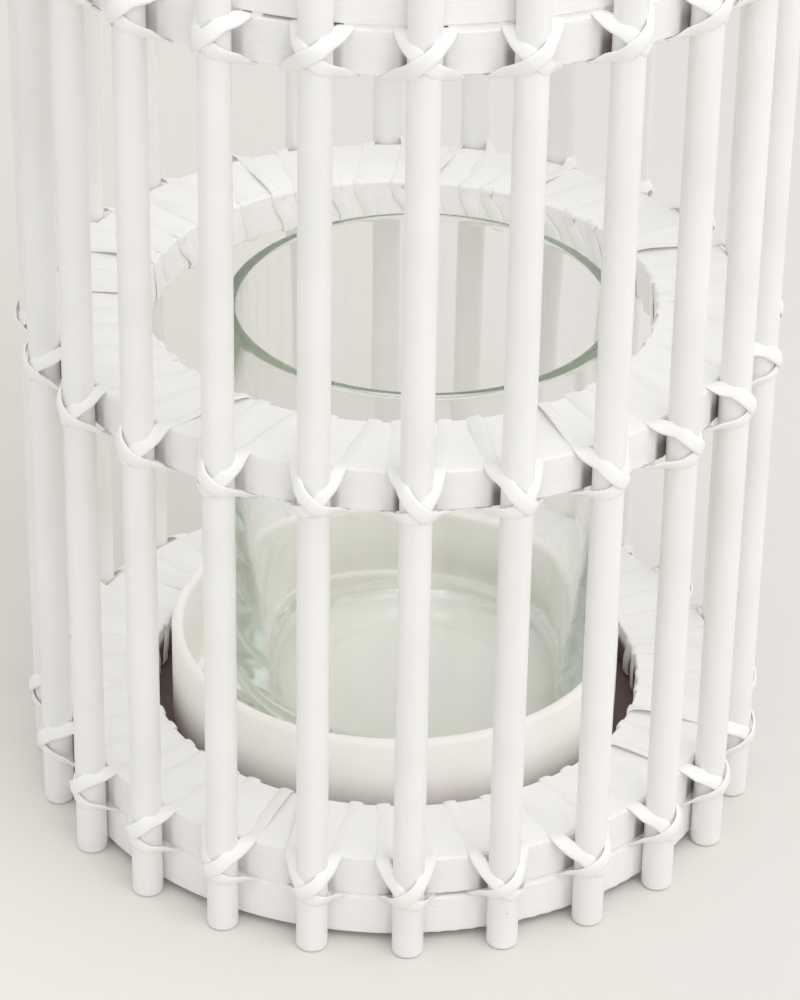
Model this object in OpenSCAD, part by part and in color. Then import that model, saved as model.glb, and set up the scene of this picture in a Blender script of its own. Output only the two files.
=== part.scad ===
// Hurricane candle lantern: a cage of upright rods, nailed and lashed with cane to
// three ring boards, standing on a round base board. A clear glass cylinder stands
// loose in a low bentwood collar and lifts out through the open top.
// Millimetres, +Z up. The origin is on the lantern's axis, at the rods' feet.

/* [Cage] */
// Radius of the circle that the rods' centres stand on
rod_circle_r = 105; // [100:1:110]
// Diameter of one upright rod
rod_d = 9; // [8:0.5:10]
// Number of upright rods
rod_count = 24; // [20:1:24]
// Radius that softens the ends of a rod
rod_edge = 1.2; // [0.6:0.2:2]
// Height of the base board above the rods' feet
foot_gap = 2.2; // [1:0.2:4]

/* [Boards] */
// Thickness of every board
board_t = 12.8; // [11:0.2:15]
// Radius of the hole in each ring board
ring_hole_r = 74; // [72:1:78]
// Height from one ring board to the next
ring_pitch = 127; // [115:1:140]
// Radius that softens the edges of the boards
board_edge = 0.8; // [0.4:0.1:1.2]

/* [Cane] */
// Width of the cane strip
cane_w = 4.8; // [4:0.2:5]
// Thickness of the cane strip
cane_t = 0.9; // [0.6:0.1:1.1]
// Height of the crossing on the rod, as a share of the board's thickness
cross_height = 0.55; // [0.45:0.05:0.6]

/* [Collar] */
// Outer radius of the bentwood collar
collar_r = 67.5; // [66:0.5:69]
// Wall of the collar
collar_wall = 3.5; // [2.5:0.5:3.5]
// Height of the collar above the base board
collar_h = 30.7; // [24:0.1:40]

/* [Glass] */
// Outer diameter of the glass cylinder
glass_d = 114; // [104:1:114]
// Height of the glass cylinder
glass_h = 139; // [120:1:160]
// Wall of the glass at its rim
glass_wall = 3.2; // [2.5:0.1:4]
// Thickness of the glass under the candle
glass_floor_t = 10; // [7:0.5:12]
// How far the loose glass stands off the lantern's axis, along +X
glass_shift = 6.3; // [0:0.1:6.3]

/* [Nails] */
// Diameter of the brads that pin each rod to each ring board
brad_d = 1.4; // [1.2:0.1:1.6]
// How far a brad's end is sunk below the face of its rod
brad_sink = 0.4; // [0.2:0.1:1]
// Depth that a brad reaches into its board
brad_bite = 9; // [6:1:14]
// Diameter of the nails that hold the base board and the rim board
nail_d = 2.4; // [2:0.1:2.6]
// Number of nails in the base board, and in the rim board
nail_count = 6; // [3:1:6]

/* [Hidden] */
rod_r = rod_d / 2;
board_r = rod_circle_r - rod_r;
rod_step = 360 / rod_count;
ring_z = [for (i = [0:2]) foot_gap + board_t + cane_t + i * ring_pitch];
rim_z = ring_z[2] + board_t + cane_t;
base_top_z = foot_gap + board_t;
rod_h = rim_z + board_t + foot_gap;

brad_rise = board_t / 2; // the crossing of the cane hides the brad
brad_out_r = rod_circle_r + rod_r - brad_sink;
brad_in_r = board_r - brad_bite;

nail_circle_r = 92;
nail_head_d = 2 * nail_d;
nail_head_t = 1.2;
nail_bite = 10;
rim_nail_sink = 0.4;
pin_head_d = 1.3 * nail_d;

glass_r = glass_d / 2;
glass_bore_r = glass_r - glass_wall;
glass_waist_r = glass_bore_r - 5.6; // the wall thickens from the taper's top to the waist
glass_waist_z = glass_floor_t + 13;
glass_taper_z = 0.79 * glass_h;
glass_taper_steps = 8;
glass_corner_r = 13;
glass_heel_r = 4;
glass_rim_r = glass_wall / 2;
glass_punt_r = 40; // shallow hollow under the floor
glass_punt_t = 1.2;

// Stations of the cane round one rod, in degrees from its left side to its right
wrap_step = 40;
wrap_angles = [for (i = [-2:2]) i * wrap_step];
wrap_r = (rod_r + 0.01) / cos(wrap_step / 2); // the flats between stations just clear the rod
// Lift of the strip that crosses on top, at each station, over the strip beneath it
over_lift = [for (k = [0.7, 1.25, 1.1, 1.25, 0.7]) k * cane_t];
// How far each strip's middle runs beside the rod's radial line on top of each ring board,
// [on the outer edge, on the edge of the hole], for the strip that crosses on top and the other
cane_lay = [
    [[5.9, 5.5], [7.6, 6.5]],
    [[6, 2.4], [6.2, 9.4]],
    [[6.9, 7.5], [5.9, 3.5]]
];
cane_lay_low = [6.4, 5]; // the same under the boards, for both
cane_from_left = [false, true, false]; // the side on which the upper strip starts
cane_bow = 0.35; // the free stretch from board to rod bows clear of the rod
cane_z = cross_height * board_t;
cane_slope = 0.54; // fall of the strip for each millimetre round the rod
cane_half_z = cane_w / 2 * sqrt(1 + cane_slope * cane_slope);

function two_digits(i) = str(i < 10 ? "0" : "", i);
function rod_name(i) = str("rod_", two_digits(i));

// Rods and the brads that pin them

// A round bar along +Z with softened ends
module round_bar(r, h, edge) {
    rotate_extrude($fn = 48) {
        square([r - edge, h]);
        translate([0, edge]) square([r, h - 2 * edge]);
        intersection() {
            square([r, h]);
            union() {
                translate([r - edge, edge]) circle(edge, $fn = 32);
                translate([r - edge, h - edge]) circle(edge, $fn = 32);
            }
        }
    }
}

// A radial hole or brad at the front of the lantern, from radius a to radius b
module radial_pin(a, b, d) {
    translate([0, -a, 0]) rotate([90, 0, 0]) cylinder(d = d, h = b - a, $fn = 24);
}

module brad_at_front() {
    translate([0, 0, brad_rise]) radial_pin(brad_in_r, brad_out_r, brad_d);
}

module brad_hole_at_front() {
    translate([0, 0, brad_rise]) radial_pin(brad_in_r, rod_circle_r + rod_d, brad_d);
}

module rod(i) {
    color("#f4f2ef") rotate([0, 0, (i - 1) * rod_step]) difference() {
        translate([0, -rod_circle_r, 0]) round_bar(rod_r, rod_h, rod_edge);
        for (z = ring_z) translate([0, 0, z]) brad_hole_at_front();
    }
}

module brads(level) {
    color("#b9b6b0") for (i = [1:rod_count])
        rotate([0, 0, (i - 1) * rod_step]) translate([0, 0, ring_z[level]]) brad_at_front();
}

// Boards and the nails that hold the outer two

// Section of a board: a rectangle from radius a to radius b with four soft corners
module board_section(a, b, t, e) {
    translate([a, e]) square([b - a, t - 2 * e]);
    translate([a + (a > 0 ? e : 0), 0]) square([b - a - (a > 0 ? 2 : 1) * e, t]);
    for (z = [e, t - e]) {
        translate([b - e, z]) circle(e, $fn = 32);
        if (a > 0) translate([a + e, z]) circle(e, $fn = 32);
    }
}

module board(hole_r) {
    rotate_extrude($fn = 180) board_section(hole_r, board_r, board_t, board_edge);
}

// Places on the nail circle, midway between two rods
module at_nails() {
    for (i = [0:nail_count - 1])
        rotate([0, 0, (round(i * rod_count / nail_count) + 0.5) * rod_step])
            translate([0, -nail_circle_r, 0]) children();
}

module base_nail() {
    cylinder(d = nail_head_d, h = nail_head_t, $fn = 32);
    cylinder(d = nail_d, h = board_t + cane_t + nail_bite, $fn = 24);
}

module rim_nail() {
    translate([0, 0, -rim_nail_sink - nail_head_t]) cylinder(d = pin_head_d, h = nail_head_t, $fn = 32);
    translate([0, 0, -board_t - cane_t - nail_bite])
        cylinder(d = nail_d, h = board_t + cane_t + nail_bite - rim_nail_sink, $fn = 24);
}

module base_nails() {
    color("#b9b6b0") translate([0, 0, foot_gap]) at_nails() base_nail();
}

module rim_nails() {
    color("#b9b6b0") translate([0, 0, rim_z + board_t]) at_nails() rim_nail();
}

module base_board() {
    color("#efece8") difference() {
        translate([0, 0, foot_gap]) board(0);
        translate([0, 0, foot_gap]) at_nails() base_nail();
    }
}

module ring_board(level) {
    color("#f2f0ee") difference() {
        translate([0, 0, ring_z[level]]) board(ring_hole_r);
        for (i = [1:rod_count])
            rotate([0, 0, (i - 1) * rod_step]) translate([0, 0, ring_z[level]]) brad_hole_at_front();
        children();
    }
}

module bottom_ring() {
    ring_board(0) translate([0, 0, foot_gap]) at_nails() base_nail();
}

module middle_ring() {
    ring_board(1);
}

module top_ring() {
    ring_board(2) translate([0, 0, rim_z + board_t]) at_nails() rim_nail();
}

module rim_ring() {
    color("#f2f0ee") difference() {
        translate([0, 0, rim_z]) board(ring_hole_r);
        translate([0, 0, rim_z + board_t]) at_nails() {
            rim_nail();
            translate([0, 0, -rim_nail_sink - 0.1]) cylinder(d = pin_head_d, h = 2, $fn = 32);
        }
    }
}

// Cane lashing
// One closed strip binds each rod to its board in a figure of eight: over the top,
// down across the rod, under the board, up inside the hole, and back the other way.
// A station is [edge 1, edge 2] of the strip's inner side, where the strip leaves edge 1
// on the side of smaller x. The rod stands at the front, on the -Y side.

function edge_of(r, x, z) = [x, -sqrt(r * r - x * x), z];
function on_rod(angle, lift, z) = [
    (wrap_r + lift) * sin(angle),
    -rod_circle_r - (wrap_r + lift) * cos(angle),
    z
];
function strip_on(r, x, z) = [edge_of(r, x - cane_w / 2, z), edge_of(r, x + cane_w / 2, z)];
// Height of the strip's middle, and of its two edges, at station i of the rod
function wrap_mid(i) = cane_z - cane_slope * wrap_r * wrap_angles[i] * PI / 180;
function wrap_low(i, lift) = on_rod(wrap_angles[i], lift, wrap_mid(i) - cane_half_z);
function wrap_high(i, lift) = on_rod(wrap_angles[i], lift, wrap_mid(i) + cane_half_z);
function mirrored(p) = [-p[0], p[1], p[2]];
function swap_sides(st) = [mirrored(st[1]), mirrored(st[0])];
function halfway(a, b, out) = (a + b) / 2 + [out, 0, 0];
function twist(a, b, out) = [halfway(a[0], b[0], out), halfway(a[1], b[1], out)];

// Top left to bottom right, for a strip that lies at lay and is lifted off the rod by lifts
function half_turn(lay, lifts) = let (
    top_in = strip_on(ring_hole_r, -lay[1], board_t),
    top_out = strip_on(board_r, -lay[0], board_t),
    low_out = strip_on(board_r, cane_lay_low[0], 0),
    low_in = strip_on(ring_hole_r, cane_lay_low[1], 0),
    wrap = [for (i = [0:len(wrap_angles) - 1]) [wrap_low(i, lifts[i]), wrap_high(i, lifts[i])]]
) concat(
    [top_in, top_out, twist(top_out, wrap[0], -cane_bow)],
    wrap,
    [twist(wrap[len(wrap) - 1], low_out, cane_bow), low_out, low_in]
);

function flipped(s) = [for (st = s) swap_sides(st)];
function turn(level) = let (
    over = half_turn(cane_lay[level][0], over_lift),
    under = half_turn(cane_lay[level][1], [for (a = wrap_angles) 0])
) cane_from_left[level] ? concat(over, flipped(under)) : concat(flipped(over), under);

function unit(v) = v / norm(v);
function middle(st) = (st[0] + st[1]) / 2;
// Outward normal of the stretch from station i to the next
function stretch_normal(s, i) = let (
    a = s[i],
    b = s[(i + 1) % len(s)]
) unit(cross(middle(b) - middle(a), unit(a[1] - a[0]) + unit(b[1] - b[0])));
// Thickness of the strip at station i, mitred between its two stretches
function thickness(s, i) = let (
    n0 = stretch_normal(s, (i + len(s) - 1) % len(s)),
    n1 = stretch_normal(s, i),
    n = unit(n0 + n1)
) n * cane_t / max(n * n1, 0.7);

// Solid of a closed strip with the given stations
module cane_strip(s) {
    n = len(s);
    points = [
        for (i = [0:n - 1])
            let (t = thickness(s, i))
            each [s[i][0], s[i][1], s[i][1] + t, s[i][0] + t]
    ];
    faces = [
        for (i = [0:n - 1])
            for (k = [0:3])
                let (
                    a = 4 * i + k,
                    b = 4 * i + (k + 1) % 4,
                    c = 4 * ((i + 1) % n) + (k + 1) % 4,
                    d = 4 * ((i + 1) % n) + k
                )
                each [[a, b, c], [a, c, d]]
    ];
    polyhedron(points = points, faces = faces);
}

module lashing(level) {
    color("#fbfaf8") for (i = [1:rod_count])
        rotate([0, 0, (i - 1) * rod_step]) translate([0, 0, ring_z[level]]) cane_strip(turn(level));
}

// Collar and glass

module collar() {
    color("#f1ece3") translate([0, 0, base_top_z]) rotate_extrude($fn = 180) {
        translate([collar_r - collar_wall, 0]) square([collar_wall, collar_h - collar_wall / 2]);
        translate([collar_r - collar_wall / 2, collar_h - collar_wall / 2])
            circle(collar_wall / 2, $fn = 48);
    }
}

// Half section of the glass: straight outside, and a wall that thickens downwards
module glass_section() {
    difference() {
        union() {
            square([glass_r - glass_heel_r, glass_h - glass_rim_r]);
            translate([0, glass_heel_r]) square([glass_r, glass_h - glass_rim_r - glass_heel_r]);
            intersection() {
                square([glass_r, glass_h]);
                translate([glass_r - glass_heel_r, glass_heel_r]) circle(glass_heel_r, $fn = 48);
            }
            translate([glass_r - glass_rim_r, glass_h - glass_rim_r]) circle(glass_rim_r, $fn = 48);
        }
        glass_hollow();
        glass_punt();
    }
}

// Part of a wide circle, whose crown rises glass_punt_t into the base
module glass_punt() {
    r = (glass_punt_r * glass_punt_r / glass_punt_t + glass_punt_t) / 2;
    intersection() {
        translate([0, glass_punt_t - r]) circle(r, $fn = 720);
        translate([0, -1]) square([glass_punt_r + 1, glass_punt_t + 2]);
    }
}

module glass_hollow() {
    corner_z = glass_floor_t + glass_corner_r;
    translate([0, glass_floor_t]) square([glass_waist_r - glass_corner_r, glass_h]);
    // The bore widens from the waist up, fast at first, along a quarter of a sine wave
    polygon(concat(
        [[0, corner_z], [glass_waist_r, corner_z]],
        [
            for (i = [0:glass_taper_steps])
                let (u = i / glass_taper_steps)
                [
                    glass_waist_r + (glass_bore_r - glass_waist_r) * sin(90 * u),
                    glass_waist_z + (glass_taper_z - glass_waist_z) * u
                ]
        ],
        [[glass_bore_r, glass_h], [0, glass_h]]
    ));
    translate([glass_waist_r - glass_corner_r, corner_z]) circle(glass_corner_r, $fn = 64);
}

module glass() {
    color("#cfdcd0", 0.45) translate([glass_shift, 0, base_top_z])
        rotate_extrude($fn = 180) glass_section();
}

base_board();
bottom_ring();
middle_ring();
top_ring();
rim_ring();
lashing(0);  // bottom_lashing
lashing(1);  // middle_lashing
lashing(2);  // top_lashing
brads(0);  // bottom_brads
brads(1);  // middle_brads
brads(2);  // top_brads
base_nails();
rim_nails();
collar();
glass();
for (i = [1:rod_count])
    rod(i);
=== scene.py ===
import math
import bpy
import numpy as np
from mathutils import Matrix, Vector


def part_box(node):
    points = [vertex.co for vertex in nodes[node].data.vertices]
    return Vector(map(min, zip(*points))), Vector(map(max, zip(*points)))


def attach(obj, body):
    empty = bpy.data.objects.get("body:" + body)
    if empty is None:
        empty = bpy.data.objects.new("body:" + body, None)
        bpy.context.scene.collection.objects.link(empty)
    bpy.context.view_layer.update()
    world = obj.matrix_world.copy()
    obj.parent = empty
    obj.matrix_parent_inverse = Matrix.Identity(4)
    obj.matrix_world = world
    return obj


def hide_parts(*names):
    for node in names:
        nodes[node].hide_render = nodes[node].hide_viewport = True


# Hurricane candle lantern: a cage of painted rods lashed with cane to ring boards,
# with a clear glass cylinder standing loose in a cream collar.
# Metres, +Z up, the lantern's axis on Z and rod_01 at the front, on the -Y side.

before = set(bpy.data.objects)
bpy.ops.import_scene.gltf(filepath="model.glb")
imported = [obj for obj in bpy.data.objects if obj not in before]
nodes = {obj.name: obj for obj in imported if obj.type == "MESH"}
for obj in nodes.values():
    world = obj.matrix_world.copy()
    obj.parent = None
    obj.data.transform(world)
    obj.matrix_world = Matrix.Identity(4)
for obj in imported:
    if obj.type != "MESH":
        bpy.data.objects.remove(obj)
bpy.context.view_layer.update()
mm = 0.001
print("frame loaded:", len(nodes), "nodes")

rodNames = sorted(name for name in nodes if name.startswith("rod_"))
rodCount = len(rodNames)
rodStep = 2 * math.pi / rodCount
rodLow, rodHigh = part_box("rod_01")
rodR = (rodHigh.x - rodLow.x) / 2
rodTop = rodHigh.z

ringNames = ["bottom_ring", "middle_ring", "top_ring"]
ringBottom = {name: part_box(name)[0].z for name in ringNames}
boardLow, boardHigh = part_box("middle_ring")
boardT = boardHigh.z - boardLow.z
boardR = boardHigh.x
rodCircleR = boardR + rodR
ringHoleR = 74 * mm
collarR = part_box("collar")[1].x


# ---------- small helpers for node trees

def newMaterial(name):
    material = bpy.data.materials.new(name)
    material.use_nodes = True
    tree = material.node_tree
    tree.nodes.clear()
    output = tree.nodes.new("ShaderNodeOutputMaterial")
    surface = tree.nodes.new("ShaderNodeBsdfPrincipled")
    tree.links.new(surface.outputs["BSDF"], output.inputs["Surface"])
    return material, tree, surface, output


def wire(tree, source, target):
    # A number or colour is written on the socket, an output is linked to it
    if isinstance(source, bpy.types.NodeSocket):
        tree.links.new(source, target)
    else:
        target.default_value = source


def maths(tree, operation, a, b=0.0):
    node = tree.nodes.new("ShaderNodeMath")
    node.operation = operation
    wire(tree, a, node.inputs[0])
    wire(tree, b, node.inputs[1])
    return node.outputs[0]


def times(tree, a, b):
    return maths(tree, "MULTIPLY", a, b)


def ramp(tree, value, low, high, outLow=0.0, outHigh=1.0):
    # Smooth step of value from low to high
    node = tree.nodes.new("ShaderNodeMapRange")
    node.interpolation_type = "SMOOTHSTEP"
    wire(tree, value, node.inputs["Value"])
    node.inputs["From Min"].default_value = low
    node.inputs["From Max"].default_value = high
    node.inputs["To Min"].default_value = outLow
    node.inputs["To Max"].default_value = outHigh
    return node.outputs["Result"]


def blend(tree, share, first, second):
    node = tree.nodes.new("ShaderNodeMix")
    node.data_type = "RGBA"
    wire(tree, share, node.inputs[0])
    wire(tree, first, node.inputs[6])
    wire(tree, second, node.inputs[7])
    return node.outputs[2]


def objectPlace(tree):
    coords = tree.nodes.new("ShaderNodeTexCoord")
    return coords.outputs["Object"]


def stretched(tree, place, scale):
    node = tree.nodes.new("ShaderNodeMapping")
    tree.links.new(place, node.inputs["Vector"])
    node.inputs["Scale"].default_value = scale
    return node.outputs["Vector"]


def noise(tree, place, scale, detail=3.0, roughness=0.5):
    node = tree.nodes.new("ShaderNodeTexNoise")
    tree.links.new(place, node.inputs["Vector"])
    node.inputs["Scale"].default_value = scale
    node.inputs["Detail"].default_value = detail
    node.inputs["Roughness"].default_value = roughness
    return node.outputs["Fac"]


def specks(tree, place, scale, size):
    # Small dots with soft edges, one in each cell of a random lattice
    node = tree.nodes.new("ShaderNodeTexVoronoi")
    tree.links.new(place, node.inputs["Vector"])
    node.inputs["Scale"].default_value = scale
    return ramp(tree, node.outputs["Distance"], size, size * 1.6, 1.0, 0.0)


def bump(tree, height, distance, under=None):
    node = tree.nodes.new("ShaderNodeBump")
    tree.links.new(height, node.inputs["Height"])
    node.inputs["Distance"].default_value = distance
    node.inputs["Strength"].default_value = 1.0
    if under is not None:
        tree.links.new(under, node.inputs["Normal"])
    return node.outputs["Normal"]


def srgb(red, green, blue):
    # Display values from 0 to 255, as the linear colour that shaders take
    values = np.array([red, green, blue]) / 255
    linear = np.where(values <= 0.04045, values / 12.92, ((values + 0.055) / 1.055) ** 2.4)
    return (*[float(v) for v in linear], 1.0)


def mottled(tree, place, look):
    # Two tones of paint in soft blotches: the colour, and the noise behind it
    blotch = noise(tree, place, look["blotchScale"], look["blotchDetail"])
    share = ramp(tree, blotch, *look["blotchRange"])
    return blend(tree, share, look["colour"], look["shade"]), blotch


def axes(tree, place):
    # Distance from the lantern's axis, then x, y and z
    parts = tree.nodes.new("ShaderNodeSeparateXYZ")
    tree.links.new(place, parts.inputs[0])
    x, y, z = parts.outputs
    radius = maths(tree, "SQRT", maths(tree, "ADD", times(tree, x, x), times(tree, y, y)))
    return radius, x, y, z


def besideRods(tree, x, y, full, reach, right):
    # 1 up to full metres beside each rod's line, falling to 0 at reach metres, and multiplied
    # by right on the rod's right. Half a step is added to the angle before the remainder is
    # taken, so that each rod's line lies in the middle of its step, and two whole turns keep
    # it above zero.
    angle = maths(tree, "ARCTAN2", x, times(tree, y, -1.0))
    turned = maths(tree, "ADD", angle, (2 * rodCount + 0.5) * rodStep)
    folded = maths(tree, "SUBTRACT", maths(tree, "MODULO", turned, rodStep), rodStep / 2)
    beside = times(tree, maths(tree, "ABSOLUTE", folded), boardR)
    sides = ramp(tree, folded, -0.01, 0.01, 1.0, right)
    return times(tree, ramp(tree, beside, full, reach, 1.0, 0.0), sides)


# ---------- materials

# Raw wood and painted shade: unpainted wood, darkened to stand in for the shade in the corners beside the
# rods and in the deep gap round the collar
rawWoodAndShade = srgb(112, 94, 88)

boardPaint = {
    "colour": srgb(248, 247, 246),
    "shade": srgb(245, 244, 243),
    "edge": srgb(244, 243, 243),         # thinner coat and painted shade on the outer face
    # painted shade, for the top face that takes the most light and for the board under the glass
    "paintedShade": srgb(228, 226, 220),
    "roughness": 0.42,
    "blotchScale": 35,
    "blotchDetail": 2,
    "blotchRange": (0.35, 0.7),
    "grainScale": 90,
    "grainPitch": 9.0,                   # how much closer the grain lies in height
    "grainDepth": 0.2 * mm,
    "rippleScale": 320,
    "rippleDepth": 0.03 * mm,
    "edgeBand": (1.2 * mm, 0.5 * mm),    # distances from the rim between which the outer face begins
    "rawShadeFull": 4.6 * mm,
    "rawShadeReach": 6.6 * mm,
    "rawShadeRight": 0.45,
    "rawShadeHeights": (0.3, 0.9),            # shares of the board's height between which the raw wood and painted shade in the corners fade
    "rawShadeHigh": 0.2,                      # what is left of them above
    "rawShadePatchy": 0.7,                    # strength where the blotches are low
    "rawShadePatches": (0.3, 0.6),
    "rawShadeSoftness": 0.6 * mm,
    "rawShadeWander": 5 * mm,
    "rawShadeFade": 4 * mm,
    "paintedShadeBand": 0.3 * mm,
    "paintedShadeSoftness": 2 * mm,
}

# For each board: rawShadeCorner is the share of raw wood and painted shade low beside each rod. Where the
# brush doesn't reach, faces below rawShadeBelow within the radii rawShadeRadii get raw wood and painted
# shade of the deep gap too. Painted shade darkens the paint above the height shadeAbove, or within
# shadeWithin of the axis.
boards = {
    "middle_ring": {"rawShadeCorner": 0.9},
    "top_ring": {"rawShadeCorner": 0.9},
    "rim_ring": {"rawShadeCorner": 0.1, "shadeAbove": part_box("rim_ring")[1].z - 0.1 * mm},
    "bottom_ring": {
        "rawShadeCorner": 0.8,
        "rawShadeBelow": ringBottom["bottom_ring"] + 9 * mm,
        "rawShadeRadii": (ringHoleR - 1 * mm, ringHoleR + 0.4 * mm),
    },
    "base_board": {
        "rawShadeCorner": 0.15,
        "rawShadeBelow": 1.0,                 # at every height
        "rawShadeRadii": (collarR - 2 * mm, ringHoleR + 3 * mm),
        "shadeWithin": 60 * mm,
    },
}


def makeBoardMaterial(board, rawShadeCorner, rawShadeBelow=None, rawShadeRadii=None, shadeAbove=None, shadeWithin=None):
    look = boardPaint
    material, tree, surface, output = newMaterial(board.split("_")[0] + "BoardPaint")
    place = objectPlace(tree)
    radius, x, y, z = axes(tree, place)
    paint, blotch = mottled(tree, place, look)
    # Painted shade: the rim ring's exposed top face and the base board under the glass are painted darker
    if shadeAbove:
        paintedShade = ramp(tree, z, shadeAbove - look["paintedShadeBand"], shadeAbove)
        paint = blend(tree, paintedShade, paint, look["paintedShade"])
    if shadeWithin:
        paintedShade = ramp(tree, radius, shadeWithin, shadeWithin + look["paintedShadeSoftness"], 1.0, 0.0)
        paint = blend(tree, paintedShade, paint, look["paintedShade"])
    # The outer face is painted a little darker: painted shade of the side face, with a thinner coat
    band = look["edgeBand"]
    outerFace = ramp(tree, radius, boardR - band[0], boardR - band[1])
    paint = blend(tree, outerFace, paint, look["edge"])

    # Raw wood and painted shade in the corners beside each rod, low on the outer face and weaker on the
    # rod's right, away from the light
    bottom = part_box(board)[0].z
    heights = [bottom + share * boardT for share in look["rawShadeHeights"]]
    low = ramp(tree, z, *heights, 1.0, look["rawShadeHigh"])
    beside = besideRods(tree, x, y, look["rawShadeFull"], look["rawShadeReach"], look["rawShadeRight"])
    corner = times(tree, times(tree, beside, outerFace), low)
    patches = ramp(tree, blotch, *look["rawShadePatches"], look["rawShadePatchy"] * rawShadeCorner, rawShadeCorner)
    rawAndShade = times(tree, corner, patches)
    # Raw wood and painted shade down in the deep gap between the ring's hole and the collar
    if rawShadeRadii:
        inner, outer = rawShadeRadii
        soft = look["rawShadeSoftness"]
        inside = times(
            tree, ramp(tree, radius, inner - soft, inner), ramp(tree, radius, outer, outer + soft, 1.0, 0.0))
        depth = maths(tree, "ADD", z, times(tree, blotch, look["rawShadeWander"]))
        below = ramp(tree, depth, rawShadeBelow, rawShadeBelow + look["rawShadeFade"], 1.0, 0.0)
        rawAndShade = maths(tree, "MAXIMUM", rawAndShade, times(tree, inside, below))
    wire(tree, blend(tree, rawAndShade, paint, rawWoodAndShade), surface.inputs["Base Color"])
    surface.inputs["Roughness"].default_value = look["roughness"]
    ripple = bump(tree, noise(tree, place, look["rippleScale"], 2), look["rippleDepth"])
    grain = noise(tree, stretched(tree, place, (1, 1, look["grainPitch"])), look["grainScale"], 4, 0.6)
    wire(tree, bump(tree, grain, look["grainDepth"], ripple), surface.inputs["Normal"])
    return material


rodPaint = {
    "colour": srgb(242, 241, 239),
    "shade": srgb(237, 236, 233),
    # painted shade on the rods' tips, which take the most light
    "paintedShade": srgb(222, 219, 214),
    "paintedShadeBand": (0.5 * mm, 0.2 * mm),    # distances below the tip between which the painted shade begins
    "roughness": 0.34,
    "blotchScale": 28,
    "blotchDetail": 2,
    "blotchRange": (0.35, 0.7),
    "streakScale": 420,
    "streakPitch": 0.06,                 # how much longer the streaks are along the rod
    "streakDepth": 0.09 * mm,
    "lumpScale": 190,
    "lumpDepth": 0.05 * mm,
    "speckColour": srgb(120, 108, 98),
    "speckScale": 260,
    "speckSize": 0.05,
    "speckPatches": 55,
    "speckRange": (0.74, 0.78),
}


def makeRodMaterial():
    # Brushed paint with rare dark specks, and painted shade on the rods' upper ends
    look = rodPaint
    material, tree, surface, output = newMaterial("rodPaint")
    place = objectPlace(tree)
    paint = mottled(tree, place, look)[0]
    z = axes(tree, place)[3]
    band = look["paintedShadeBand"]
    # Painted shade on the tip
    paint = blend(tree, ramp(tree, z, rodTop - band[0], rodTop - band[1]), paint, look["paintedShade"])
    rare = ramp(tree, noise(tree, place, look["speckPatches"], 1), *look["speckRange"])
    dots = times(tree, specks(tree, place, look["speckScale"], look["speckSize"]), rare)
    wire(tree, blend(tree, dots, paint, look["speckColour"]), surface.inputs["Base Color"])
    surface.inputs["Roughness"].default_value = look["roughness"]
    lumps = bump(tree, noise(tree, place, look["lumpScale"], 3), look["lumpDepth"])
    streak = noise(tree, stretched(tree, place, (1, 1, look["streakPitch"])), look["streakScale"], 3)
    wire(tree, bump(tree, streak, look["streakDepth"], lumps), surface.inputs["Normal"])
    return material


canePaint = {
    "colour": srgb(245, 244, 242),
    "shade": srgb(242, 241, 238),
    "roughness": 0.36,
    "blotchScale": 60,
    "blotchDetail": 2,
    "blotchRange": (0.4, 0.75),
    "lumpScale": 260,
    "lumpDepth": 0.08 * mm,
}


def makeCaneMaterial():
    look = canePaint
    material, tree, surface, output = newMaterial("canePaint")
    place = objectPlace(tree)
    wire(tree, mottled(tree, place, look)[0], surface.inputs["Base Color"])
    surface.inputs["Roughness"].default_value = look["roughness"]
    lumps = noise(tree, place, look["lumpScale"], 3)
    wire(tree, bump(tree, lumps, look["lumpDepth"]), surface.inputs["Normal"])
    return material


collarPaint = {
    "colour": srgb(252, 249, 245),
    "shade": srgb(249, 245, 240),
    "roughness": 0.45,
    "blotchScale": 40,
    "blotchDetail": 3,
    "blotchRange": (0.35, 0.7),
    "rippleScale": 70,
    "ripplePitch": 4,
    "rippleDepth": 0.08 * mm,
    # thin paint and painted shade low on the outside, down in the gap
    "thinPaintAndShade": srgb(216, 194, 181),
    "thinShadeShare": 0.6,
    "thinShadeTop": 20 * mm,
    "thinShadeFade": 9 * mm,
    "thinShadeWander": 8 * mm,
    "thinShadeBand": (1.5 * mm, 1 * mm),      # distances from the outside between which it begins
}


def makeCollarMaterial():
    # Cream paint that thins out low on the outside, down in the gap, with painted shade there
    look = collarPaint
    material, tree, surface, output = newMaterial("collarPaint")
    place = objectPlace(tree)
    radius, x, y, z = axes(tree, place)
    paint, blotch = mottled(tree, place, look)
    # Painted shade and thinner paint low on the outside
    band = look["thinShadeBand"]
    outside = ramp(tree, radius, collarR - band[0], collarR - band[1])
    depth = maths(tree, "ADD", z, times(tree, blotch, look["thinShadeWander"]))
    low = ramp(tree, depth, look["thinShadeTop"], look["thinShadeTop"] + look["thinShadeFade"], look["thinShadeShare"], 0.0)
    wire(tree, blend(tree, times(tree, outside, low), paint, look["thinPaintAndShade"]), surface.inputs["Base Color"])
    surface.inputs["Roughness"].default_value = look["roughness"]
    ripple = noise(tree, stretched(tree, place, (1, 1, look["ripplePitch"])), look["rippleScale"], 3)
    wire(tree, bump(tree, ripple, look["rippleDepth"]), surface.inputs["Normal"])
    return material


clearGlass = {
    "ior": 1.4,
    "roughness": 0.04,
    "tint": (0.53, 0.61, 0.52, 1.0),
    "density": 9.0,
    "waveScale": 22,
    "wavePitch": 0.4,
    "waveDepth": 0.04 * mm,
}


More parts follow.
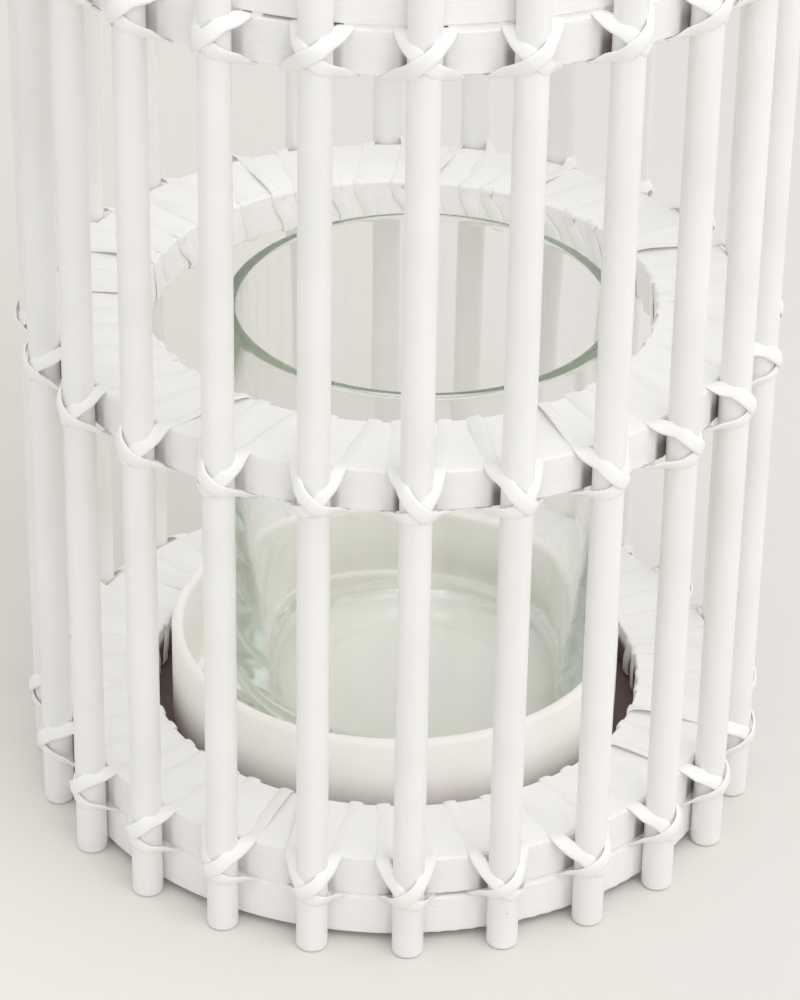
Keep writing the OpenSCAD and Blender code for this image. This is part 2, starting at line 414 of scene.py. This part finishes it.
def makeGlassMaterial():
    # Light from the lamps goes straight through, so that the inside isn't left dark
    look = clearGlass
    material, tree, surface, output = newMaterial("clearGlass")
    path = tree.nodes.new("ShaderNodeLightPath")
    through = tree.nodes.new("ShaderNodeBsdfTransparent")
    either = tree.nodes.new("ShaderNodeMixShader")
    tree.links.new(path.outputs["Is Shadow Ray"], either.inputs[0])
    tree.links.new(surface.outputs[0], either.inputs[1])
    tree.links.new(through.outputs[0], either.inputs[2])
    tree.links.new(either.outputs[0], output.inputs["Surface"])
    surface.inputs["Base Color"].default_value = (1, 1, 1, 1)
    surface.inputs["Transmission Weight"].default_value = 1.0
    surface.inputs["IOR"].default_value = look["ior"]
    surface.inputs["Roughness"].default_value = look["roughness"]
    place = stretched(tree, objectPlace(tree), (1, 1, look["wavePitch"]))
    waves = noise(tree, place, look["waveScale"], 1)
    wire(tree, bump(tree, waves, look["waveDepth"]), surface.inputs["Normal"])
    inside = tree.nodes.new("ShaderNodeVolumeAbsorption")
    inside.inputs["Color"].default_value = look["tint"]
    inside.inputs["Density"].default_value = look["density"]
    tree.links.new(inside.outputs[0], output.inputs["Volume"])
    return material


nailSteel = {
    "light": srgb(176, 174, 170),
    "dark": srgb(132, 128, 122),
    "scale": 900,
    "roughness": 0.4,
}


def makeSteelMaterial():
    look = nailSteel
    material, tree, surface, output = newMaterial("nailSteel")
    cloud = noise(tree, objectPlace(tree), look["scale"], 3)
    wire(tree, blend(tree, cloud, look["light"], look["dark"]), surface.inputs["Base Color"])
    surface.inputs["Metallic"].default_value = 1.0
    surface.inputs["Roughness"].default_value = look["roughness"]
    return material


def dress(name, material):
    mesh = nodes[name].data
    mesh.materials.clear()
    mesh.materials.append(material)


boardMaterials = {board: makeBoardMaterial(board, **values) for board, values in boards.items()}
rodMaterial = makeRodMaterial()
caneMaterial = makeCaneMaterial()
steelMaterial = makeSteelMaterial()
for board in boards:
    dress(board, boardMaterials[board])
dress("collar", makeCollarMaterial())
for name in rodNames:
    dress(name, rodMaterial)
for name in nodes:
    if name.endswith("_brads") or name.endswith("_nails"):
        dress(name, steelMaterial)
print("materials made")


# ---------- surfaces from grids

def gridFaces(rings, around, closeRings=False):
    # Quads between neighbouring rings of a grid whose rings are closed
    i = np.arange(rings if closeRings else rings - 1)[:, None]
    j = np.arange(around)[None, :]
    nextI, nextJ = (i + 1) % rings, (j + 1) % around
    quads = np.stack([i * around + j, i * around + nextJ, nextI * around + nextJ, nextI * around + j], -1)
    return quads.reshape(-1, 4)


def meshFrom(name, points, faces, material, smooth=True):
    mesh = bpy.data.meshes.new(name)
    mesh.from_pydata(points.reshape(-1, 3), [], faces if isinstance(faces, list) else faces.tolist())
    mesh.polygons.foreach_set("use_smooth", np.full(len(mesh.polygons), smooth))
    mesh.materials.append(material)
    piece = bpy.data.objects.new(name, mesh)
    bpy.context.scene.collection.objects.link(piece)
    return piece


def unit(vectors):
    return vectors / np.linalg.norm(vectors, axis=-1, keepdims=True)


# ---------- cane lashings

# Turns of the strip across a rod: angles round it from the side on which the strip comes
# down, millimetres above the board's underside there, heights over the rod as shares of the
# strip's thickness, and the millimetres by which the free stretches bow out. A hugging turn
# stays longer on the rod, and a high one crosses nearer to the board's top.
overLift = (0.35, 0.85, 0.9, 0.85, 0.35)
flatLift = (0, 0, 0, 0, 0)
turns = {
    "hugging": {
        "angle": (-72, -46, -22, 0, 22, 46),
        "height": (11.8, 10.6, 8.7, 6.8, 5.1, 3.7),
        "lift": (-0.1, 0.3) + overLift[1:],
        "bow": 0.1,
    },
    "over": {
        "angle": (-50, -24, 0, 24, 46),
        "height": (10.6, 8.7, 6.8, 5.1, 3.7),
        "lift": overLift,
        "bow": 0.2,
    },
    "under": {
        "angle": (-53, -24, 0, 24, 46),
        "height": (8.1, 5.9, 4.2, 3.0, 2.2),
        "lift": flatLift,
        "bow": 0.3,
    },
    "highOver": {
        "angle": (-52, -24, 0, 24, 46),
        "height": (11.5, 9.9, 8.3, 6.6, 5.0),
        "lift": overLift,
        "bow": 0.2,
    },
    "highUnder": {
        "angle": (-53, -24, 0, 24, 46),
        "height": (10.2, 8.6, 7.0, 5.5, 4.2),
        "lift": flatLift,
        "bow": 0.2,
    },
}

cane = {
    "width": 4.4 * mm,
    "widthSpread": 0.03,
    "thickness": 0.85 * mm,
    "edgeLift": 0.15,         # height of the strip's edge, as a share of its thickness
    "sink": 0.48 * mm,        # how far the paint has closed the edges of a strip that lies on a board
    "tilt": 0.3,              # lean of the strips that have one edge lifted
    "leans": [-1, 0, 0, 0, 0, 1],
    "sectionPoints": 14,
    "squareness": {"across": 0.9, "crown": 0.8, "back": 0.7},    # powers, less than 1 is squarer
    "samples": 4,             # points of the path between two stations
    "edgeR": 0.8 * mm,
    # where the strip lies flat, in edgeR from the hole and from the rim, above and below
    "holeClear": 2.5,
    "rimClear": {"top": 3.0, "low": 2.2},
    # stations on the faces, as shares of the way from the rim to the hole
    "topShares": (0.93, 0.5, 0.1),
    "lowShares": (0.07, 0.5, 0.93),
    # how far the path cuts each edge of the board, radially and in height, in edgeR
    "cuts": {"holeTop": (0.3, 0.3), "rimTop": (0.3, 0.25), "rimLow": (0.2, 0.2), "holeLow": (0.25, 0.25)},
    # standard deviations from rod to rod
    "spread": {
        "top": 0.6 * mm, "hole": 0.9 * mm, "low": 0.6 * mm, "lowHole": 0.8 * mm,
        "height": 0.35 * mm, "steepness": 0.08, "tilt": 0.2,
    },
    # mean millimetres beside the rod's line of the [left, right] strips: outer edge above,
    # hole's edge above, outer edge below, hole's edge below. from is the side on which the
    # strip that lies over the crossing comes down, -1 for the left.
    "bottom_ring": {
        "seed": 11, "from": 1, "over": "over", "under": "under",
        "top": (-7.4, 5.9), "hole": (-6.5, 5.5), "low": (-6.8, 6.8), "lowHole": (-5, 5),
    },
    "middle_ring": {
        "seed": 23, "from": -1, "over": "hugging", "under": "under",
        "top": (-6.0, 6.2), "hole": (-2.4, 9.4), "low": (-7.4, 7.8), "lowHole": (-6, 5),
    },
    "top_ring": {
        "seed": 35, "from": 1, "over": "highOver", "under": "highUnder",
        "top": (-5.9, 6.9), "hole": (-3.5, 7.5), "low": (-7.6, 7.8), "lowHole": (-5, 5),
    },
}


def caneSection():
    # Lens of unit width and height: a crowned face over a flatter back, whose edges stand clear
    # of the board. Width goes with a power of the cosine, and height with one of the sine.
    u = np.linspace(0, 2 * np.pi, cane["sectionPoints"], endpoint=False)
    power = cane["squareness"]
    across = np.sign(np.cos(u)) * np.abs(np.cos(u)) ** power["across"] / 2
    edge = cane["edgeLift"]
    crown = edge + (1 - edge) * np.abs(np.sin(u)) ** power["crown"]
    back = edge * (1 - np.abs(np.sin(u)) ** power["back"])
    return across, np.where(np.sin(u) >= 0, crown, back)


def halfTurn(side, strip, rng, turn):
    # Stations (rod, station, xyz) and outward normals of one pass of the strip round
    # the rod at the front: over the top on the side -side, across the rod, and under
    # the board on the other. z is measured from the board's underside.
    k = 0 if side > 0 else 1     # which of [left, right] lies above; the other one lies below
    spread = cane["spread"]

    def jitter(deviation):
        return rng.normal(0, deviation, rodCount).clip(-2 * deviation, 2 * deviation)

    xTop = strip["top"][k] * mm + jitter(spread["top"])
    xHole = strip["hole"][k] * mm + jitter(spread["hole"])
    xLow = strip["low"][1 - k] * mm + jitter(spread["low"])
    xLowHole = strip["lowHole"][1 - k] * mm + jitter(spread["lowHole"])
    raised = jitter(spread["height"])
    steeper = 1 + jitter(spread["steepness"])
    tilt = cane["tilt"] * rng.choice(cane["leans"], rodCount) * (1 + jitter(spread["tilt"]))
    zero = np.zeros(rodCount)
    sink, edge = cane["sink"], cane["edgeR"]
    above = boardT - sink + np.abs(tilt) * cane["width"] / 2
    rim, hole = boardR, ringHoleR
    middle = (rim + hole) / 2
    holeClear = cane["holeClear"] * edge
    rimClear = {face: clear * edge for face, clear in cane["rimClear"].items()}
    cut = {corner: (inward * edge, high * edge) for corner, (inward, high) in cane["cuts"].items()}

    def onBoard(x, radius, z):
        return np.stack([x, -np.sqrt(radius ** 2 - x ** 2), zero + z], -1)

    def direction(x, y, z):
        return np.stack([zero + x, zero + y, zero + z], -1)

    stations, normals = [], []

    def add(point, normal):
        stations.append(point)
        normals.append(normal)

    # up out of the hole and over the upper face to the rim
    topX = [xTop + (xHole - xTop) * share for share in cane["topShares"]]
    add(onBoard(xHole, hole + 0.5 * sink, boardT - holeClear), direction(0, 1, 0))
    add(onBoard(xHole, hole + cut["holeTop"][0], boardT - cut["holeTop"][1]), direction(0, 1, 1))
    add(onBoard(topX[0], hole + holeClear, above), direction(tilt, 0, 1))
    add(onBoard(topX[1], middle, above), direction(tilt, 0, 1))
    add(onBoard(topX[2], rim - rimClear["top"], boardT - sink), direction(0.5 * tilt, 0, 1))
    add(onBoard(xTop, rim - cut["rimTop"][0], boardT - cut["rimTop"][1]), direction(0, -0.6, 1))

    # across the rod, with a free stretch before and after
    bow = turn["bow"] * mm
    middleZ = turn["height"][turn["angle"].index(0)] * mm
    onRod = []
    for degrees, height, lift in zip(turn["angle"], turn["height"], turn["lift"]):
        angle = math.radians(degrees) * side
        reach = rodR + lift * cane["thickness"]
        x = zero + reach * math.sin(angle)
        y = zero - rodCircleR - reach * math.cos(angle)
        z = middleZ + raised + steeper * (height * mm - middleZ)
        outward = direction(math.sin(angle), -math.cos(angle), -0.5 * angle * side)
        onRod.append((np.stack([x, y, z], -1), outward))
    free = (stations[-1] + onRod[0][0]) / 2 + direction(-side, 0, 0) * bow
    add(free, direction(-side * 0.5, -0.75, 0.7))
    for point, normal in onRod:
        add(point, normal)
    lowPoint = onBoard(xLow, rim - cut["rimLow"][0], cut["rimLow"][1])
    free = (onRod[-1][0] + lowPoint) / 2 + direction(side, 0, 0) * bow
    add(free, direction(side * 0.5, -0.75, -0.6))

    # under the lower face and up into the hole
    lowX = [xLow + (xLowHole - xLow) * share for share in cane["lowShares"]]
    add(lowPoint, direction(0, -0.6, -1))
    add(onBoard(lowX[0], rim - rimClear["low"], 0), direction(0, 0, -1))
    add(onBoard(lowX[1], middle, 0), direction(0, 0, -1))
    add(onBoard(lowX[2], hole + holeClear, 0), direction(0, 0, -1))
    add(onBoard(xLowHole, hole + cut["holeLow"][0], cut["holeLow"][1]), direction(0, 1, -1))
    add(onBoard(xLowHole, hole, holeClear), direction(0, 1, 0))
    return np.stack(stations, 1), unit(np.stack(normals, 1))


def closedSpline(stations, samples):
    # Closed cubic through stations (rod, station, xyz). The slope at a station is the mean
    # of its two stretches, the shorter one counting more, so long stretches stay straight.
    step = np.roll(stations, -1, 1) - stations
    length = np.linalg.norm(step, axis=-1, keepdims=True)
    before, lengthBefore = np.roll(step, 1, 1), np.roll(length, 1, 1)
    slope = (step / length * lengthBefore + before / lengthBefore * length) / (length + lengthBefore)
    t = np.linspace(0, 1, samples, endpoint=False)[None, None, :, None]
    a, b = stations[:, :, None], np.roll(stations, -1, 1)[:, :, None]
    slopeA, slopeB = (slope * length)[:, :, None], (np.roll(slope, -1, 1) * length)[:, :, None]
    curve = (2 * t**3 - 3 * t**2 + 1) * a + (t**3 - 2 * t**2 + t) * slopeA \
        + (3 * t**2 - 2 * t**3) * b + (t**3 - t**2) * slopeB
    return curve.reshape(stations.shape[0], -1, 3)


def closedBlend(directions, samples):
    # Each direction turns evenly into the next
    t = np.linspace(0, 1, samples, endpoint=False)[None, None, :, None]
    a, b = directions[:, :, None], np.roll(directions, -1, 1)[:, :, None]
    return unit((1 - t) * a + t * b).reshape(directions.shape[0], -1, 3)


def makeLashing(ring):
    # The section is carried along each rod's closed path, square to it and facing outwards
    strip = cane[ring]
    rng = np.random.default_rng(strip["seed"])
    overPoints, overNormals = halfTurn(-strip["from"], strip, rng, turns[strip["over"]])
    underPoints, underNormals = halfTurn(strip["from"], strip, rng, turns[strip["under"]])
    stations = np.concatenate([overPoints, underPoints], 1)
    normals = np.concatenate([overNormals, underNormals], 1)
    path = closedSpline(stations, cane["samples"])
    normal = closedBlend(normals, cane["samples"])
    tangent = unit(np.roll(path, -1, 1) - np.roll(path, 1, 1))
    normal = unit(normal - (normal * tangent).sum(-1, keepdims=True) * tangent)
    wide = np.cross(normal, tangent)
    across, high = caneSection()
    width = cane["width"] * (1 + rng.normal(0, cane["widthSpread"], (rodCount, 1, 1, 1)))
    points = path[:, :, None] + wide[:, :, None] * across[None, None, :, None] * width \
        + normal[:, :, None] * (high * cane["thickness"])[None, None, :, None]
    # turn each strip to its rod
    angle = np.arange(rodCount) * rodStep
    c, s = np.cos(angle)[:, None, None], np.sin(angle)[:, None, None]
    x, y, z = points[..., 0], points[..., 1], points[..., 2]
    points = np.stack([x * c - y * s, x * s + y * c, z + ringBottom[ring]], -1)
    rings, around = path.shape[1], len(across)
    faces = gridFaces(rings, around, closeRings=True)
    faces = (faces[None] + (np.arange(rodCount) * rings * around)[:, None, None]).reshape(-1, 4)
    piece = meshFrom(ring.replace("ring", "cane"), points, faces, caneMaterial)
    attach(piece, "cage")
    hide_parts(ring.replace("ring", "lashing"))


for ring in ringNames:
    makeLashing(ring)
print("cane lashings made")


# ---------- paint that closes the seams between the boards

seams = {
    "depth": 0.35 * mm,       # how far the paint stays behind the boards' faces
    "wander": 0.12 * mm,
    "waves": (53, 97, 161),   # waves of the wander round the rim
    "groove": 0.15 * mm,      # how far the middle of the paint draws back
    "lap": 0.4 * mm,          # how far it covers each board
    "open": 7 * mm,           # depth where the seam is open
    "inner": 9 * mm,
    "points": 48,             # for each bay between two rods
    "seed": 5,
    # where each seam is open, from and to, in rod steps from rod_01 towards +X
    "baseSeam": {
        "low": "base_board", "high": "bottom_ring",
        "gaps": [(0.3, 0.67), (5.6, 5.72), (13.35, 13.7), (19.4, 19.5)],
    },
    "rimSeam": {
        "low": "top_ring", "high": "rim_ring",
        "gaps": [
            (0.17, 0.21), (3.3, 3.6), (9.4, 9.8), (15.2, 15.5), (22.22, 22.3), (22.43, 22.77),
            (23.14, 23.22),
        ],
    },
}


def makeSeam(name):
    # Band of paint round the seam: its depth is a sum of sines, and it steps in at the gaps
    seam = seams[name]
    rng = np.random.default_rng(seams["seed"])
    count = rodCount * seams["points"]
    turn = np.arange(count) / seams["points"]
    number = np.array(seams["waves"])[:, None]
    size = rng.normal(0, 1, number.shape)
    phase = rng.uniform(0, 6, number.shape)
    waves = size * np.sin(2 * np.pi * (turn / rodCount) * number + phase)
    depth = seams["depth"] + seams["wander"] * waves.sum(0).clip(-2, 2)
    for start, end in seam["gaps"]:
        depth = np.where((turn > start) & (turn < end), seams["open"], depth)
    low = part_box(seam["low"])[1].z - seams["lap"]
    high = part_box(seam["high"])[0].z + seams["lap"]
    outer, inner = boardR - depth, np.full(count, boardR - seams["inner"])
    radius = np.stack([outer, outer - seams["groove"], outer, inner, inner], -1)
    height = np.broadcast_to(np.array([low, (low + high) / 2, high, high, low]), radius.shape)
    angle = (turn * rodStep)[:, None]
    points = np.stack([radius * np.sin(angle), -radius * np.cos(angle), height], -1)
    faces = gridFaces(count, radius.shape[1], closeRings=True)[:, ::-1]
    piece = meshFrom(name, points, faces, boardMaterials["rim_ring"], smooth=False)
    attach(piece, "cage")


makeSeam("baseSeam")
makeSeam("rimSeam")
print("seams painted")


# ---------- glass cylinder

glassShape = {
    "wall": 3.2 * mm,
    "floor": 10 * mm,
    "waist": 8.8 * mm,        # wall where the corner of the hollow starts
    "cornerR": 13 * mm,
    "heelR": 4 * mm,
    "puntR": 40 * mm,
    "puntRise": 1.2 * mm,
    "clearance": 0.15 * mm,   # air left under the base, so that its face isn't the board's
    "taperTop": 0.79,         # height at which the wall gets its full thinness, as a share
    "segments": 192,
    "points": {"punt": 12, "heel": 9, "side": 10, "rim": 13, "bore": 24, "corner": 12, "floor": 8},
}


def arc(centre, radius, start, end, count):
    # Points at (radius, height) round centre, from start to end in degrees
    angle = np.radians(np.linspace(start, end, count))
    return np.stack([centre[0] + radius * np.cos(angle), centre[1] + radius * np.sin(angle)], -1)


def glassProfile(radius, height):
    # Closed half section from the axis under the base, up the outside, over the rim and
    # down the inside to the axis. The bore follows a quarter sine from waist to taper top.
    g = glassShape
    count = g["points"]
    rimR = g["wall"] / 2
    u = np.linspace(0, 1, count["punt"])
    rise = g["puntRise"] - g["clearance"]
    punt = np.stack([g["puntR"] * u, g["clearance"] + rise * (1 - u ** 2)], -1)
    heel = arc((radius - g["heelR"], g["heelR"] + g["clearance"]), g["heelR"], -90, 0, count["heel"])
    sideZ = np.linspace(2 * g["heelR"], height - 2 * rimR, count["side"])
    side = np.stack([np.full(count["side"], radius), sideZ], -1)
    rim = arc((radius - rimR, height - rimR), rimR, 0, 180, count["rim"])
    waistR = radius - g["waist"]
    cornerZ = g["floor"] + g["cornerR"]
    taper = np.linspace(1, 0, count["bore"])
    bore = np.stack([
        waistR + (radius - g["wall"] - waistR) * np.sin(taper * np.pi / 2),
        cornerZ + (g["taperTop"] * height - cornerZ) * taper,
    ], -1)
    floorR = waistR - g["cornerR"]
    corner = arc((floorR, cornerZ), g["cornerR"], 0, -90, count["corner"])[1:]
    inwards = np.linspace(floorR, 0, count["floor"])[1:]
    floor = np.stack([inwards, np.full(len(inwards), g["floor"])], -1)
    return np.concatenate([punt, heel, side, rim, bore, corner, floor])


def revolve(profile, segments):
    # Points at (radius, height) swept round the axis. The first and last are poles.
    angle = np.linspace(0, 2 * np.pi, segments, endpoint=False)
    body = profile[1:-1]
    ringPoints = np.stack([
        body[:, :1] * np.cos(angle), body[:, :1] * np.sin(angle), np.repeat(body[:, 1:], segments, 1),
    ], -1).reshape(-1, 3)
    poles = np.array([[0, 0, profile[0, 1]], [0, 0, profile[-1, 1]]])
    quads = gridFaces(len(body), segments).tolist()
    first, last = len(ringPoints), len(ringPoints) + 1
    j = np.arange(segments)
    nextJ = (j + 1) % segments
    start = np.stack([np.full(segments, first), nextJ, j], -1)
    top = (len(body) - 1) * segments
    end = np.stack([np.full(segments, last), top + j, top + nextJ], -1)
    return np.concatenate([ringPoints, poles]), quads + start.tolist() + end.tolist()


def makeGlass():
    low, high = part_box("glass")
    radius = (high.y - low.y) / 2
    centre = np.array([(low.x + high.x) / 2, (low.y + high.y) / 2, low.z])
    points, faces = revolve(glassProfile(radius, high.z - low.z), glassShape["segments"])
    piece = meshFrom("glassCylinder", points + centre, faces, makeGlassMaterial())
    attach(piece, "glass")
    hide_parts("glass")


makeGlass()
print("glass made")


# ---------- floor, lights and camera

stageLook = {
    "size": 12.0,
    # painted light and shade on the paper: lighter in front on the left, a painted shadow of the lantern
    # behind on the left, and the tones far behind and on the right
    "litNearLeft": srgb(230, 227, 221),
    "shadowBehindLeft": srgb(217, 213, 204),
    "far": srgb(222, 218, 212),
    "right": srgb(219, 215, 211),
    # from where to where each tone gives way to the next, in metres along Y, Y and X
    "backBand": (-0.05, 0.15),
    "farBand": (0.2, 0.55),
    "rightBand": (-0.15, 0.1),
    "roughness": 0.8,
    "toothScale": 300,
    "toothDepth": 0.02 * mm,
    "world": (0.99, 0.995, 1.0, 1.0),
    "worldStrength": 0.815,
}


def makeFloor():
    look = stageLook
    s = look["size"]
    points = np.array([[-s, -s, 0], [s, -s, 0], [s, s, 0], [-s, s, 0]], float)
    material, tree, surface, output = newMaterial("floorPaper")
    place = objectPlace(tree)
    x, y = axes(tree, place)[1:3]
    # Painted light and shade on the floor: lighter in front on the left, a painted shadow of the lantern
    # behind it
    left = blend(tree, ramp(tree, y, *look["backBand"]), look["litNearLeft"], look["shadowBehindLeft"])
    left = blend(tree, ramp(tree, y, *look["farBand"]), left, look["far"])
    tone = blend(tree, ramp(tree, x, *look["rightBand"]), left, look["right"])
    wire(tree, tone, surface.inputs["Base Color"])
    surface.inputs["Roughness"].default_value = look["roughness"]
    tooth = noise(tree, place, look["toothScale"], 2)
    wire(tree, bump(tree, tooth, look["toothDepth"]), surface.inputs["Normal"])
    floor = meshFrom("floor", points, [[0, 1, 2, 3]], material, smooth=False)


def makeWorld():
    world = bpy.data.worlds.new("studio")
    world.use_nodes = True
    tree = world.node_tree
    tree.nodes.clear()
    output = tree.nodes.new("ShaderNodeOutputWorld")
    light = tree.nodes.new("ShaderNodeBackground")
    light.inputs["Color"].default_value = stageLook["world"]
    light.inputs["Strength"].default_value = stageLook["worldStrength"]
    tree.links.new(light.outputs[0], output.inputs["Surface"])
    bpy.context.scene.world = world


lampAim = Vector((0, 0, 0.12))
warmWhite = (1.0, 0.995, 0.985)
lamps = {
    "topLamp": {"place": (0.3, -0.6, 2.4), "size": 1.8, "watts": 12.5, "colour": warmWhite},
    "frontLamp": {"place": (0.9, -1.3, 1.6), "size": 1.7, "watts": 10.5, "colour": warmWhite},
    "sideLamp": {"place": (1.3, 0.2, 0.9), "size": 1.4, "watts": 3.0, "colour": (1.0, 1.0, 1.0)},
}


def makeLamps():
    for name, values in lamps.items():
        light = bpy.data.lights.new(name, "AREA")
        light.size = values["size"]
        light.energy = values["watts"]
        light.color = values["colour"]
        lamp = bpy.data.objects.new(name, light)
        lamp.location = values["place"]
        lamp.rotation_euler = (lampAim - lamp.location).to_track_quat("-Z", "Y").to_euler()
        bpy.context.scene.collection.objects.link(lamp)


view = {
    "pitch": 30.78,           # degrees that the camera looks down
    "azimuth": -2.81,         # degrees from the front towards +X
    "roll": 0.99,
    "distance": 1.154,
    "aside": 0.84 * mm,       # the point aimed at, to the camera's right of the axis
    "height": 86.9 * mm,
    "lens": 139.93,
}


def makeCamera():
    pitch, azimuth = math.radians(view["pitch"]), math.radians(view["azimuth"])
    level = math.cos(pitch)
    right = Vector((math.cos(azimuth), math.sin(azimuth), 0))
    ahead = Vector((-math.sin(azimuth) * level, math.cos(azimuth) * level, -math.sin(pitch)))
    up = right.cross(ahead)
    aim = right * view["aside"] + Vector((0, 0, view["height"]))
    turn = Matrix((right, up, -ahead)).transposed()
    roll = Matrix.Rotation(math.radians(view["roll"]), 3, "Z")
    camera = bpy.data.objects.new("camera", bpy.data.cameras.new("camera"))
    camera.matrix_world = Matrix.Translation(aim - ahead * view["distance"]) @ (turn @ roll).to_4x4()
    camera.data.lens = view["lens"]
    camera.data.clip_start = 0.01
    bpy.context.scene.collection.objects.link(camera)
    bpy.context.scene.camera = camera


makeFloor()
makeWorld()
makeLamps()
makeCamera()
scene = bpy.context.scene
scene.view_settings.view_transform = "Standard"
scene.cycles.max_bounces = 64
scene.cycles.glossy_bounces = 64
scene.cycles.transmission_bounces = 64
scene.cycles.diffuse_bounces = 6
scene.cycles.blur_glossy = 0.0
print("stage made")
